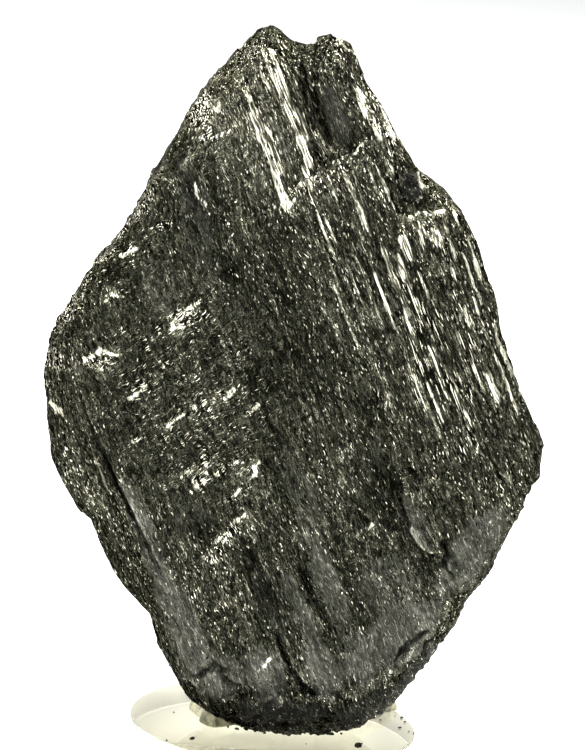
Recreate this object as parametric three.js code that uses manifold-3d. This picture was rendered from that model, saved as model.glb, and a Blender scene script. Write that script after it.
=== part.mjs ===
// A graphite specimen that stands on a round clear acrylic base, its foot bedded in putty.
// Millimetres, +Z up, +X to the right; the specimen's front looks along -Y.
// The origin is the centre of the base's underside.

import * as THREE from 'three';
import { mergeVertices } from 'three/addons/utils/BufferGeometryUtils.js';
import Module from 'manifold-3d';

const wasm = await Module();
wasm.setup();

const { clamp, degToRad, lerp, smoothstep } = THREE.MathUtils;

// ---------------------------------------------------------------- driving dimensions

const BASE = { diameter: 38.1, thickness: 12.7, chamfer: 0.6, sides: 72 };
const GAP = 0.3;             // left between pieces that touch

// The graphite is shaped in its grain frame: x across the grain, z up along it, -y to the
// front. That frame leans to the left and its origin stands this high above the base.
const GRAIN_LEAN = degToRad(25.5);
const GRAIN_ORIGIN_HEIGHT = 46;

const GRAPHITE_GRID = { columns: 56, rows: 36 };
const CROWDING = 0.8;        // how strongly grid lines gather at the rim, where it bends
const RIM = { y: -1, wander: 1.3, waveX: 14, waveZ: 17 };  // where front meets back
const FRONT_DEPTH = 11.5;
const BACK_DEPTH = 12.5;
const BLEND = 1.6;           // rounds the edges between the broad faces

const PUTTY = {
  centreX: 1.8, centreY: 0.6, halfWidth: 14.2, halfDepth: 9.2, height: 4.2, squareness: 3,
  sides: 30, rings: 6,
};

// ---------------------------------------------------------------- outline of the graphite

// Upper and lower edges: height over x.
const UPPER_EDGE = [
  [-26.2, 19.6], [-22, 23.1], [-18, 26.1], [-14, 27.8], [-9, 32], [-3, 36.7], [3, 41.5], [9, 44.6],
  [12.4, 45.8], [14.2, 45.5], [15.2, 43.3], [16.2, 42.8], [17.3, 41.7], [19, 42.6], [20.8, 41.9],
  [22.1, 40.3],
];
const LOWER_EDGE = [
  [-27, -35.2], [-24, -39.2], [-20, -42.4], [-15, -44.6], [-10, -45.4], [-5, -43.8], [0, -41],
  [5, -38.1], [8.5, -35.8], [10.5, -33.3], [13, -31.8], [17, -28.8], [21, -25.9], [25.3, -22.2],
];
// Left and right edges: x over height.
const LEFT_EDGE = [
  [-35.2, -27], [-31, -28.9], [-25, -29.9], [-21, -29.4], [-17.5, -30.9], [-14, -32.3],
  [-10, -32.7], [-6, -32.4], [-3, -33.2], [0, -33.4], [4, -33.4], [8, -32.1], [12, -30.8],
  [16, -29], [19.6, -26.2],
];
const RIGHT_EDGE = [
  [-22.2, 25.3], [-18, 26.9], [-12, 27.1], [-3, 27.2], [4, 28], [11, 28.1], [15, 27.5],
  [19, 26.2], [21, 24.8], [23, 24.5], [28, 23.9], [35, 22.9], [40.3, 22.1],
];

// How far in from the rim the surface has bent round to face front or back.
const EDGE_ROUND = { left: 8, right: 4.5, upper: 5, lower: 4.5 };

// ---------------------------------------------------------------- relief of the graphite

// Broad faces: each is a plane that cuts the depth down beyond a line.
// The depth is `depth` on the line through `at`, and changes by `slope` per mm along `along`.
const FRONT_FACES = [
  { at: [9, 0], along: [1, 0], depth: 11.5, slope: -0.27 },         // striated right side
  { at: [-21, 0], along: [-1, 0], depth: 11.5, slope: -0.36 },      // flaky left side
  { at: [0, 20], along: [0, 1], depth: 11.5, slope: -0.16 },        // top
  { at: [-10, 27], along: [-0.6, 0.8], depth: 11.5, slope: -0.55 }, // sloping shoulder
  { at: [15, -27], along: [0.6, -0.8], depth: 11.5, slope: -1 },    // narrow side below right
];
const BACK_FACES = [
  { at: [-4, 0], along: [1, 0], depth: 12.5, slope: -0.2 },
  { at: [-13, 0], along: [-1, 0], depth: 12.5, slope: -0.42 },
  { at: [0, 8], along: [0.2, 1], depth: 12.5, slope: -0.2 },
  { at: [4, -16], along: [0.5, -0.9], depth: 12.5, slope: -0.4 },
];
// Both sides fall in to a narrow foot over the last few millimetres above the base.
const FOOT = { frontDepth: 4.5, backDepth: 5.5, slope: 1.3 };

// Ridges and grooves along the grain: x and half width across it, the heights of their
// ends, and how far they stand proud; a groove's height is negative.
const FRONT_RIDGES = [
  { x: 7.4, width: 1.5, bottom: 20, top: 50, height: 1.1 },       // bright blade, left
  { x: 12.4, width: 1.6, bottom: 22, top: 50, height: 1.3 },      // bright blade, right
  { x: 10, width: 1.0, bottom: 22, top: 50, height: -0.8 },
  { x: 14.9, width: 1.1, bottom: 27, top: 50, height: -2.6 },     // groove below the notch
  { x: 17.4, width: 2.4, bottom: 26, top: 50, height: -1.5 },     // recessed smooth band
  { x: 20, width: 0.9, bottom: 26, top: 42, height: -0.9 },
  { x: 21.8, width: 1.5, bottom: 26, top: 42, height: 0.7 },
  { x: 15.6, width: 0.9, bottom: -14, top: 22, height: 0.7 },     // striated right side
  { x: 18.4, width: 1.2, bottom: -16, top: 18, height: 0.9 },
  { x: 21, width: 1.0, bottom: -12, top: 12, height: -0.9 },
  { x: 23.5, width: 1.2, bottom: -14, top: 15, height: 0.7 },
  { x: 6.5, width: 2.4, bottom: -20, top: 8, height: -0.9 },      // broad hollow beside it
  { x: 10.5, width: 1.4, bottom: -12, top: 12, height: 0.6 },
  { x: -5.5, width: 3.0, bottom: -28, top: 4, height: -1.1 },     // long central valley
  { x: -14.8, width: 0.8, bottom: -41, top: -16, height: -1.2 },  // crack into the foot
  { x: -1.2, width: 2.2, bottom: -30, top: 16, height: 0.6 },
  { x: -26, width: 1.4, bottom: -30, top: 12, height: 0.7 },      // flaky strips, left rim
  { x: -28.4, width: 0.9, bottom: -30, top: 10, height: -0.9 },
];
const BACK_RIDGES = [
  { x: -17, width: 1.3, bottom: -30, top: 22, height: -1.2 },
  { x: -11, width: 2.2, bottom: -24, top: 26, height: 0.9 },
  { x: -3.5, width: 1.2, bottom: -10, top: 40, height: -1.1 },
  { x: 2, width: 1.8, bottom: -40, top: 14, height: 0.8 },
  { x: 12.5, width: 1.5, bottom: -6, top: 44, height: 1.2 },
  { x: 15, width: 1.1, bottom: 4, top: 50, height: -1.9 },        // groove below the notch
  { x: 19.5, width: 1.4, bottom: -14, top: 36, height: 0.8 },
  { x: 23, width: 1.1, bottom: -16, top: 26, height: -0.8 },
];

// Ledges: broken ends of layers. Going from `from` to `to`, the ground to the right of the
// line stands `rise` higher at the line and sinks back over `reach`.
const FRONT_LEDGES = [
  { from: [4, 24.2], to: [19.5, 28.2], rise: 1.5, reach: 10 },    // end of the recessed band
  { from: [19, 16.2], to: [28, 15.2], rise: 1.9, reach: 7 },      // below the pit at the right
  { from: [-21, -4.5], to: [-8, -8], rise: 1.4, reach: 5 },
  { from: [-20, -15], to: [-11, -13.6], rise: 1.2, reach: 7 },
  { from: [-13, 4], to: [-3, 6.5], rise: 0.9, reach: 8 },
  { from: [-25, 17], to: [-3, 32], rise: 1.1, reach: 6 },         // shoulder layers
  { from: [9.5, -32], to: [7.2, -15.5], rise: 1.6, reach: 12 },   // block below right
  { from: [7.2, -15.5], to: [22, -16.5], rise: 0.6, reach: 8 },
  { from: [-24.5, -34], to: [-27, 10], rise: 0.9, reach: 9 },
];
const BACK_LEDGES = [
  { from: [7.5, 34], to: [4.5, -30], rise: 1.8, reach: 14 },
  { from: [-22, 8], to: [2, 12.5], rise: 1.5, reach: 9 },
  { from: [4, -6], to: [26, -2.5], rise: 1.3, reach: 8 },
  { from: [-26, -18], to: [-2, -22], rise: 1.7, reach: 10 },
  { from: [3, 27], to: [24, 23], rise: 1.2, reach: 7 },
];

const RIDGE_FADE = 3;        // ridges and ledges die out over this far at each end
const LEDGE_FADE = 2;
const LEDGE_BRINK = 0.9;     // half the run of a ledge's slope

// Pits: half sizes across and along the grain.
const FRONT_PITS = [
  { at: [22.4, 20.3], size: [2.8, 4.2], depth: 2.4 },             // open to the right edge
  { at: [-16.5, -10.8], size: [4.6, 2.6], depth: 1.3 },
  { at: [-14, -1.5], size: [4.2, 2.4], depth: 0.9 },
  { at: [-6.8, 28.4], size: [4.4, 2.2], depth: 1.1 },
  { at: [9.8, -29.2], size: [2.4, 4], depth: 1.1 },
  { at: [5.2, 13], size: [3.4, 5.2], depth: 0.7 },
  { at: [-24, -31], size: [3, 3.6], depth: 0.8 },
];
const BACK_PITS = [
  { at: [-8, 4.5], size: [5, 3], depth: 1.6 },
  { at: [17, 9], size: [3, 5], depth: 1.4 },
  { at: [-19, -26], size: [3.2, 2.6], depth: 1.3 },
  { at: [8, -24], size: [4.5, 2.6], depth: 1.5 },
];

// The walls round the rim are layered: grooved along the grain at the left and right, and
// hackly at the ends, where the grain is broken across.
const WALL = { height: 2.6, layer: 2.5, hackle: 3.4, along: 12 };

// Each kind of natural irregularity has its own seed.
const SEEDS = { front: 1, rim: 5, back: 11, sideWalls: 21, endWalls: 22 };

// Natural unevenness: wave lengths across and along the grain, and height.
const UNEVENNESS = [
  { across: 2.2, along: 24, height: 0.42 },
  { across: 5.5, along: 15, height: 0.55 },
  { across: 3.2, along: 4.6, height: 0.3 },
];

// ---------------------------------------------------------------- materials

const materials = {
  graphite: new THREE.MeshStandardMaterial({ color: 0x3d3d3b, roughness: 0.38, metalness: 0.75 }),
  putty: new THREE.MeshStandardMaterial({ color: 0xdfe3cd, roughness: 0.45, metalness: 0 }),
  acrylic: new THREE.MeshStandardMaterial({
    color: 0xf4f6ee, roughness: 0.05, metalness: 0, transparent: true, opacity: 0.3,
  }),
};

// ---------------------------------------------------------------- shape helpers

// A smooth curve through [position, value] points.
function curveThrough(points) {
  const positions = points.map(point => point[0]);
  const values = points.map(point => point[1]);
  const spline = new THREE.CubicInterpolant(positions, values, 1);
  return position => spline.evaluate(position)[0];
}

// Even steps from 0 to 1 that gather towards both ends.
function crowd(step) {
  return lerp(step, 0.5 - 0.5 * Math.cos(Math.PI * step), CROWDING);
}

// 0 at the rim, rising round a quarter circle to 1 at `radius` in from it.
function roundedRise(distance, radius) {
  const inward = clamp(distance / radius, 0, 1);
  return Math.sqrt(1 - (1 - inward) ** 2);
}

// The smaller of two values, with the corner between them rounded.
function blendedMin(a, b) {
  const closeness = Math.max(BLEND - Math.abs(a - b), 0) / BLEND;
  return Math.min(a, b) - closeness ** 2 * BLEND * 0.25;
}

// A repeatable value between -1 and 1 for each lattice point.
function latticeValue(i, j, seed) {
  const value = Math.sin(i * 127.1 + j * 311.7 + seed * 74.7) * 43758.5453;
  return 2 * (value - Math.floor(value)) - 1;
}

// The lattice values joined smoothly.
function smoothNoise(x, z, seed) {
  const i = Math.floor(x);
  const j = Math.floor(z);
  const right = smoothstep(x - i, 0, 1);
  const up = smoothstep(z - j, 0, 1);
  const below = lerp(latticeValue(i, j, seed), latticeValue(i + 1, j, seed), right);
  const above = lerp(latticeValue(i, j + 1, seed), latticeValue(i + 1, j + 1, seed), right);
  return lerp(below, above, up);
}

// ---------------------------------------------------------------- relief functions

// 1 between two ends, fading to 0 over `fade` on each side of them.
function span(position, start, end, fade) {
  return smoothstep(position, start - fade, start + fade)
    * (1 - smoothstep(position, end - fade, end + fade));
}

function ridgeHeight(ridge, x, z) {
  const across = Math.exp(-(((x - ridge.x) / ridge.width) ** 2));
  return ridge.height * across * span(z, ridge.bottom, ridge.top, RIDGE_FADE);
}

function ledgeHeight(ledge, x, z) {
  const runX = ledge.to[0] - ledge.from[0];
  const runZ = ledge.to[1] - ledge.from[1];
  const length = Math.hypot(runX, runZ);
  const fromX = x - ledge.from[0];
  const fromZ = z - ledge.from[1];
  const along = (fromX * runX + fromZ * runZ) / length;
  const beyond = (fromX * runZ - fromZ * runX) / length;
  const brink = smoothstep(beyond, -LEDGE_BRINK, LEDGE_BRINK);
  const sinking = Math.exp(-Math.max(beyond, 0) / ledge.reach);
  return ledge.rise * brink * sinking * span(along, 0, length, LEDGE_FADE);
}

function pitDepth(pit, x, z) {
  const across = (x - pit.at[0]) / pit.size[0];
  const along = (z - pit.at[1]) / pit.size[1];
  return pit.depth * Math.exp(-((across ** 2 + along ** 2) ** 1.5));
}

function unevenHeight(x, z, seed) {
  return sum(UNEVENNESS, wave => wave.height
    * smoothNoise(x / wave.across, z / wave.along, seed + UNEVENNESS.indexOf(wave)));
}

function sum(features, height) {
  return features.reduce((total, feature) => total + height(feature), 0);
}

// Depth of one side at a point of the grain frame, before it is rounded off at the rim.
function sideDepth(side, x, z) {
  const faceDepth = face => face.depth + face.slope
    * ((x - face.at[0]) * face.along[0] + (z - face.at[1]) * face.along[1]);
  const footDepth = side.foot + FOOT.slope * Math.max(heightAboveBase(x, z), 0);
  const broad = side.faces.map(faceDepth).reduce(blendedMin, blendedMin(side.depth, footDepth));
  return broad
    + sum(side.ridges, ridge => ridgeHeight(ridge, x, z))
    + sum(side.ledges, ledge => ledgeHeight(ledge, x, z))
    - sum(side.pits, pit => pitDepth(pit, x, z))
    + unevenHeight(x, z, side.seed);
}

const FRONT = {
  depth: FRONT_DEPTH, foot: FOOT.frontDepth, seed: SEEDS.front,
  faces: FRONT_FACES, ridges: FRONT_RIDGES, ledges: FRONT_LEDGES, pits: FRONT_PITS,
};
const BACK = {
  depth: BACK_DEPTH, foot: FOOT.backDepth, seed: SEEDS.back,
  faces: BACK_FACES, ridges: BACK_RIDGES, ledges: BACK_LEDGES, pits: BACK_PITS,
};

// ---------------------------------------------------------------- graphite

function heightAboveBase(x, z) {
  return x * Math.sin(GRAIN_LEAN) + z * Math.cos(GRAIN_LEAN) + GRAIN_ORIGIN_HEIGHT;
}

// The lowest z at this x: there the flat of the foot stands just clear of the base.
function footLine(x) {
  return (GAP - GRAIN_ORIGIN_HEIGHT - x * Math.sin(GRAIN_LEAN)) / Math.cos(GRAIN_LEAN);
}

// The outline as a four-sided patch: `across` runs from the left edge to the right and
// `down` from the upper edge to the lower, both from 0 to 1.
function outlinePatch() {
  const upper = curveThrough(UPPER_EDGE);
  const lower = curveThrough(LOWER_EDGE);
  const left = curveThrough(LEFT_EDGE);
  const right = curveThrough(RIGHT_EDGE);
  const [upperLeft, upperRight] = [UPPER_EDGE[0], UPPER_EDGE.at(-1)];
  const [lowerLeft, lowerRight] = [LOWER_EDGE[0], LOWER_EDGE.at(-1)];

  return (across, down) => {
    const upperZ = upper(lerp(upperLeft[0], upperRight[0], across));
    const lowerZ = lower(lerp(lowerLeft[0], lowerRight[0], across));
    const leftX = left(lerp(upperLeft[1], lowerLeft[1], down));
    const rightX = right(lerp(upperRight[1], lowerRight[1], down));
    return {
      x: lerp(leftX, rightX, across),
      z: lerp(upperZ, lowerZ, down),
      width: rightX - leftX,
      height: upperZ - lowerZ,
    };
  };
}

// How far the surface has turned from the side walls, and from the walls at the ends, to
// face front or back: 0 on the rim, 1 on the faces.
function turnFromWalls(across, down, { width, height }) {
  return {
    fromSides: roundedRise(across * width, EDGE_ROUND.left)
      * roundedRise((1 - across) * width, EDGE_ROUND.right),
    fromEnds: roundedRise(down * height, EDGE_ROUND.upper)
      * roundedRise((1 - down) * height, EDGE_ROUND.lower),
  };
}

// How far in from the outline a layer of the wall stands; a few stand out a little.
function layerInset(yFromRim, along, thickness, seed) {
  const inset = smoothNoise(yFromRim / thickness, along / WALL.along, seed)
    - smoothNoise(0, along / WALL.along, seed);
  return WALL.height * (inset > 0 ? inset : 0.3 * inset);
}

function graphiteGeometry() {
  const { columns, rows } = GRAPHITE_GRID;
  const patch = outlinePatch();
  const positions = [];
  const frontIndex = [];
  const backIndex = [];

  const addPoint = (x, y, z) => positions.push(x, y, Math.max(z, footLine(x))) / 3 - 1;

  for (let row = 0; row <= rows; row++) {
    for (let column = 0; column <= columns; column++) {
      const across = crowd(column / columns);
      const down = crowd(row / rows);
      const place = patch(across, down);
      const { fromSides, fromEnds } = turnFromWalls(across, down, place);
      const rimY = RIM.y
        + RIM.wander * smoothNoise(place.x / RIM.waveX, place.z / RIM.waveZ, SEEDS.rim);
      const addSide = (side, towards) => {
        const yFromRim = towards * fromSides * fromEnds * sideDepth(side, place.x, place.z);
        const sideInset = (1 - fromSides) * fromEnds
          * layerInset(yFromRim, place.z, WALL.layer, SEEDS.sideWalls);
        const endInset = (1 - fromEnds) * fromSides
          * layerInset(yFromRim, place.x, WALL.hackle, SEEDS.endWalls);
        const x = place.x + (across < 0.5 ? sideInset : -sideInset);
        const z = place.z + (down < 0.5 ? -endInset : endInset);
        return addPoint(x, rimY + yFromRim, z);
      };
      const onRim = row === 0 || row === rows || column === 0 || column === columns;
      const front = addSide(FRONT, -1);
      frontIndex.push(front);
      backIndex.push(onRim ? front : addSide(BACK, 1));
    }
  }

  const triangles = [];
  for (let row = 0; row < rows; row++) {
    for (let column = 0; column < columns; column++) {
      const corner = row * (columns + 1) + column;
      const cell = [corner, corner + 1, corner + columns + 1, corner + columns + 2];
      // Each quarter's diagonals point at its own corner, so no triangle cuts one off.
      const towardsCorner = (column < columns / 2) === (row < rows / 2);
      const [a, b, c, d] = cell.map(i => frontIndex[i]);
      const [e, f, g, h] = cell.map(i => backIndex[i]);
      if (towardsCorner) {
        triangles.push(a, c, d, a, d, b, e, h, g, e, f, h);
      } else {
        triangles.push(a, c, b, b, c, d, e, f, g, f, h, g);
      }
    }
  }

  const geometry = new THREE.BufferGeometry();
  geometry.setAttribute('position', new THREE.Float32BufferAttribute(positions, 3));
  geometry.setIndex(triangles);
  geometry.computeVertexNormals();
  return geometry;
}

function makeGraphite() {
  const graphite = new THREE.Mesh(graphiteGeometry(), materials.graphite);
  graphite.name = 'graphite';
  return graphite;
}

// ---------------------------------------------------------------- acrylic base

function makeBase() {
  const radius = BASE.diameter / 2;
  const profile = [
    [0, 0], [radius - BASE.chamfer, 0], [radius, BASE.chamfer],
    [radius, BASE.thickness - BASE.chamfer], [radius - BASE.chamfer, BASE.thickness],
    [0, BASE.thickness],
  ].map(([r, height]) => new THREE.Vector2(r, height));
  const geometry = new THREE.LatheGeometry(profile, BASE.sides).rotateX(Math.PI / 2);
  const base = new THREE.Mesh(geometry, materials.acrylic);
  base.name = 'acrylic_base';
  return base;
}

// ---------------------------------------------------------------- putty

// A low pressed mound with a thumbed, lobed edge, flat underneath.
function puttyMound() {
  const profile = [new THREE.Vector2(0, 0)];
  for (let ring = 0; ring <= PUTTY.rings; ring++) {
    const radius = Math.cos(0.5 * Math.PI * ring / PUTTY.rings);
    const height = PUTTY.height * (1 - radius ** PUTTY.squareness) ** (1 / 2);
    profile.push(new THREE.Vector2(radius, height));
  }
  const geometry = new THREE.LatheGeometry(profile, PUTTY.sides).rotateX(Math.PI / 2);
  const position = geometry.attributes.position;
  for (let i = 0; i < position.count; i++) {
    const angle = Math.atan2(position.getY(i), position.getX(i));
    const lobes = 1 + 0.05 * Math.sin(3 * angle + 0.6) + 0.035 * Math.sin(7 * angle);
    position.setXYZ(
      i,
      PUTTY.centreX + position.getX(i) * PUTTY.halfWidth * lobes,
      PUTTY.centreY + position.getY(i) * PUTTY.halfDepth * lobes,
      BASE.thickness + position.getZ(i),
    );
  }
  return geometry;
}

// A closed geometry as a solid for joining and cutting.
function solidFrom(geometry) {
  const bare = geometry.clone();
  bare.deleteAttribute('normal');
  bare.deleteAttribute('uv');
  const merged = mergeVertices(bare, 1e-3);
  return new wasm.Manifold(new wasm.Mesh({
    numProp: 3,
    vertProperties: new Float32Array(merged.attributes.position.array),
    triVerts: new Uint32Array(dropCollapsed(merged.index.array)),
  }));
}

// Triangle indices without the triangles that merging closed up.
function dropCollapsed(index) {
  const kept = [];
  for (let i = 0; i < index.length; i += 3) {
    const [a, b, c] = index.slice(i, i + 3);
    if (a !== b && b !== c && c !== a) kept.push(a, b, c);
  }
  return kept;
}

function geometryFrom(solid) {
  const mesh = solid.getMesh();
  const geometry = new THREE.BufferGeometry();
  geometry.setAttribute('position', new THREE.Float32BufferAttribute(mesh.vertProperties, 3));
  geometry.setIndex(new THREE.Uint32BufferAttribute(mesh.triVerts, 1));
  geometry.computeVertexNormals();
  return geometry;
}

// The graphite grown by the gap on every side, in the assembly's frame.
function grownGraphite(graphite) {
  const geometry = graphite.geometry.clone();
  const { position, normal } = geometry.attributes;
  for (let i = 0; i < position.count; i++) {
    position.setXYZ(
      i,
      position.getX(i) + GAP * normal.getX(i),
      position.getY(i) + GAP * normal.getY(i),
      position.getZ(i) + GAP * normal.getZ(i),
    );
  }
  return solidFrom(geometry.applyMatrix4(graphite.matrixWorld));
}

function makePutty(graphite) {
  const bedded = solidFrom(puttyMound()).subtract(grownGraphite(graphite));
  const putty = new THREE.Mesh(geometryFrom(bedded), materials.putty);
  putty.name = 'mounting_putty';
  return putty;
}

// ---------------------------------------------------------------- assembly

const leaningGrain = new THREE.Group();
leaningGrain.position.z = BASE.thickness + GRAIN_ORIGIN_HEIGHT;
leaningGrain.rotation.y = -GRAIN_LEAN;
const graphite = makeGraphite();
leaningGrain.add(graphite);
leaningGrain.updateMatrixWorld(true);

const specimen = new THREE.Group();
specimen.add(makeBase(), makePutty(graphite), leaningGrain);

export default specimen;
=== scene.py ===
"""The finish of a graphite specimen that stands on a round clear acrylic base.

Lengths are in millimetres until they reach Blender, which takes metres. Positions on the
graphite are in its grain frame: x across the grain, y the depth with the front at -y, and
z along the grain.
"""

import itertools
import math

import bmesh
import bpy
import numpy as np
from mathutils import Matrix, Vector


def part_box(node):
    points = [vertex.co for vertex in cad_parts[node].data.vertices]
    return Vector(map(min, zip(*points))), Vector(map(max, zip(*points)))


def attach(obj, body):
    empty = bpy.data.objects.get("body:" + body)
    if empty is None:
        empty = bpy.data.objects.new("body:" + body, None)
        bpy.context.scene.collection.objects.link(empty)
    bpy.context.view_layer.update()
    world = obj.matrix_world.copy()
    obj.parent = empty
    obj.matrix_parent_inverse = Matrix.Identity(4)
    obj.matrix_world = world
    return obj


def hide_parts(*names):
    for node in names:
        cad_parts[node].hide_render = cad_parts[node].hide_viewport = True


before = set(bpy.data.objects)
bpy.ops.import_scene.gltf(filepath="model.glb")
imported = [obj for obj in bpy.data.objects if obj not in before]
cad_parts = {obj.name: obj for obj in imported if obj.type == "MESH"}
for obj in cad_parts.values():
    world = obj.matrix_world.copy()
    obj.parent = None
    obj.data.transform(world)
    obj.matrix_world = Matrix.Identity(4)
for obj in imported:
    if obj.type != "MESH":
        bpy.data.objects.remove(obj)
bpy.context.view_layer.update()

# ------------------------ sizes and places

MM = 0.001                       # metres in a millimetre

_, base_high = (np.array(corner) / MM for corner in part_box("acrylic_base"))
BASE_RADIUS = base_high[0]
BASE_TOP = base_high[2]
BASE_EDGE = 0.3                  # the rounded edge of the base
BASE_SIDES = 160
HAIR = 0.01                      # what stands on the base is kept at least this far above it

GRAIN_LEAN = math.radians(25.5)  # the grain leans to the left
GRAIN_HEIGHT = 46.0              # its frame's origin is this high above the base
GRAIN_ORIGIN = np.array([0.0, 0.0, BASE_TOP + GRAIN_HEIGHT])
GRAIN_AXES = np.array([
    [math.cos(GRAIN_LEAN), 0.0, math.sin(GRAIN_LEAN)],
    [0.0, 1.0, 0.0],
    [-math.sin(GRAIN_LEAN), 0.0, math.cos(GRAIN_LEAN)],
])

DRAWING_DEPTH = -1.0             # the marks of the front are laid on from a drawing at this y,
DRAWING_SLANT = (0.1, 0.217)     # at this slant across and along the grain,
DRAWING_SPREAD = 0.00165         # and spread by this much for each mm of depth

CROSS_ANGLE = math.radians(18)   # the cross flakes rise to the right by this much

# Channels of the plain shape that the finish fills: (x, z), and half sizes.
FILLED = [((10, 33), (1.4, 12)), ((21.1, -2), (1.2, 13))]

# Cracks and fine ridges of the front: a line of (x, z) points, the half width of the sharp
# profile, and its height, which is negative in a crack.
FRONT_STROKES = [
    ([(14.9, 43.5), (15.1, 38), (14.6, 27)], 0.4, -0.15),
    ([(17.4, 42.5), (17.2, 40), (16.2, 36)], 0.6, -0.6),
    ([(8, -15.5), (6.8, -19), (6.5, -25), (8.7, -28), (9.4, -31)], 0.45, -0.9),
    ([(8, -15.5), (9.4, -15.2), (10.4, -17.2)], 0.5, -0.9),
    ([(7.2, -22), (7.8, -25.4), (8.8, -27.4)], 0.6, 0.9),
    ([(10.2, -25.6), (9.8, -28), (8.6, -30)], 0.45, -0.9),
    ([(-14.8, -29), (-14.9, -33), (-14.5, -37), (-13.3, -39.5), (-12.3, -41)], 0.4, -0.8),
    ([(-14.2, -30), (-14, -35), (-12.8, -39)], 0.75, 0.6),
    ([(-12.4, -22), (-12.8, -26), (-12.4, -29)], 0.45, 0.5),
    ([(-8.8, -22), (-8.4, -30), (-8, -34)], 0.45, -0.4),
    ([(-3.9, -26), (-3.2, -30), (-1.8, -34)], 0.45, -0.4),
    ([(-7.4, 10.5), (-7.2, 6), (-7.6, 4)], 0.4, 0.5), ([(0.6, 15), (0.9, 8)], 0.45, 0.4),
    ([(-27.6, 11), (-27.2, -4), (-26.2, -20)], 0.6, -0.8),
    ([(-29.8, 9), (-29.6, -4), (-28.6, -18)], 0.6, 0.6),
    ([(-27.5, -32.4), (-24, -31.6), (-21.5, -33.4)], 0.45, -0.9),
    ([(-24, -31.6), (-23.8, -34), (-21.4, -35.6)], 0.45, -0.8),
    ([(-2.6, -40.4), (0.6, -37.6), (4.4, -36.8)], 0.5, -0.9),
]

# Ledges of the front: a line of (x, z) points, rise and reach. The ground to the right of the
# line, as it is drawn, stands `rise` higher at the line and sinks back over `reach`.
FRONT_LEDGES = [
    ([(5, 24.5), (9, 24.8), (14, 26.2), (19.4, 27.2)], 0.7, 3),
    ([(19.5, 16.4), (22, 15.6), (26, 15.2)], 0.9, 3),
    ([(-21, -4.6), (-17, -5.6), (-13, -5.2)], 0.6, 1.6),
    ([(-15, -8.6), (-11, -7), (-8.4, -6.4)], 0.9, 2),
    ([(-21, -17.5), (-16, -14.8), (-11, -12.6)], 0.6, 2.4),
    ([(-13, 14.6), (-10, 15.2), (-7.4, 14.6)], 0.6, 2),
    ([(-25, 12.6), (-22, 13.6), (-19.6, 13)], 0.4, 2.4),
    ([(-20, 25), (-12, 29), (-5, 34.6), (2, 40.4)], 0.5, 3),
    ([(-23, 18.4), (-16, 22.6), (-10, 25)], 0.5, 2.5),
    ([(-20, 1.2), (-14, 2), (-9, 2.8)], 0.35, 3), ([(-22, 7), (-18, 8.4), (-14, 8.8)], 0.3, 2),
    ([(9.5, -31), (7, -25), (7, -18), (8.4, -15)], 0.6, 5),
    ([(-26, -35.8), (-20, -37.2), (-14, -39.4), (-10, -41)], 0.9, 3),
    ([(-10, -41), (-4, -40.2), (3, -37.8)], 0.8, 3),
]

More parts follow.
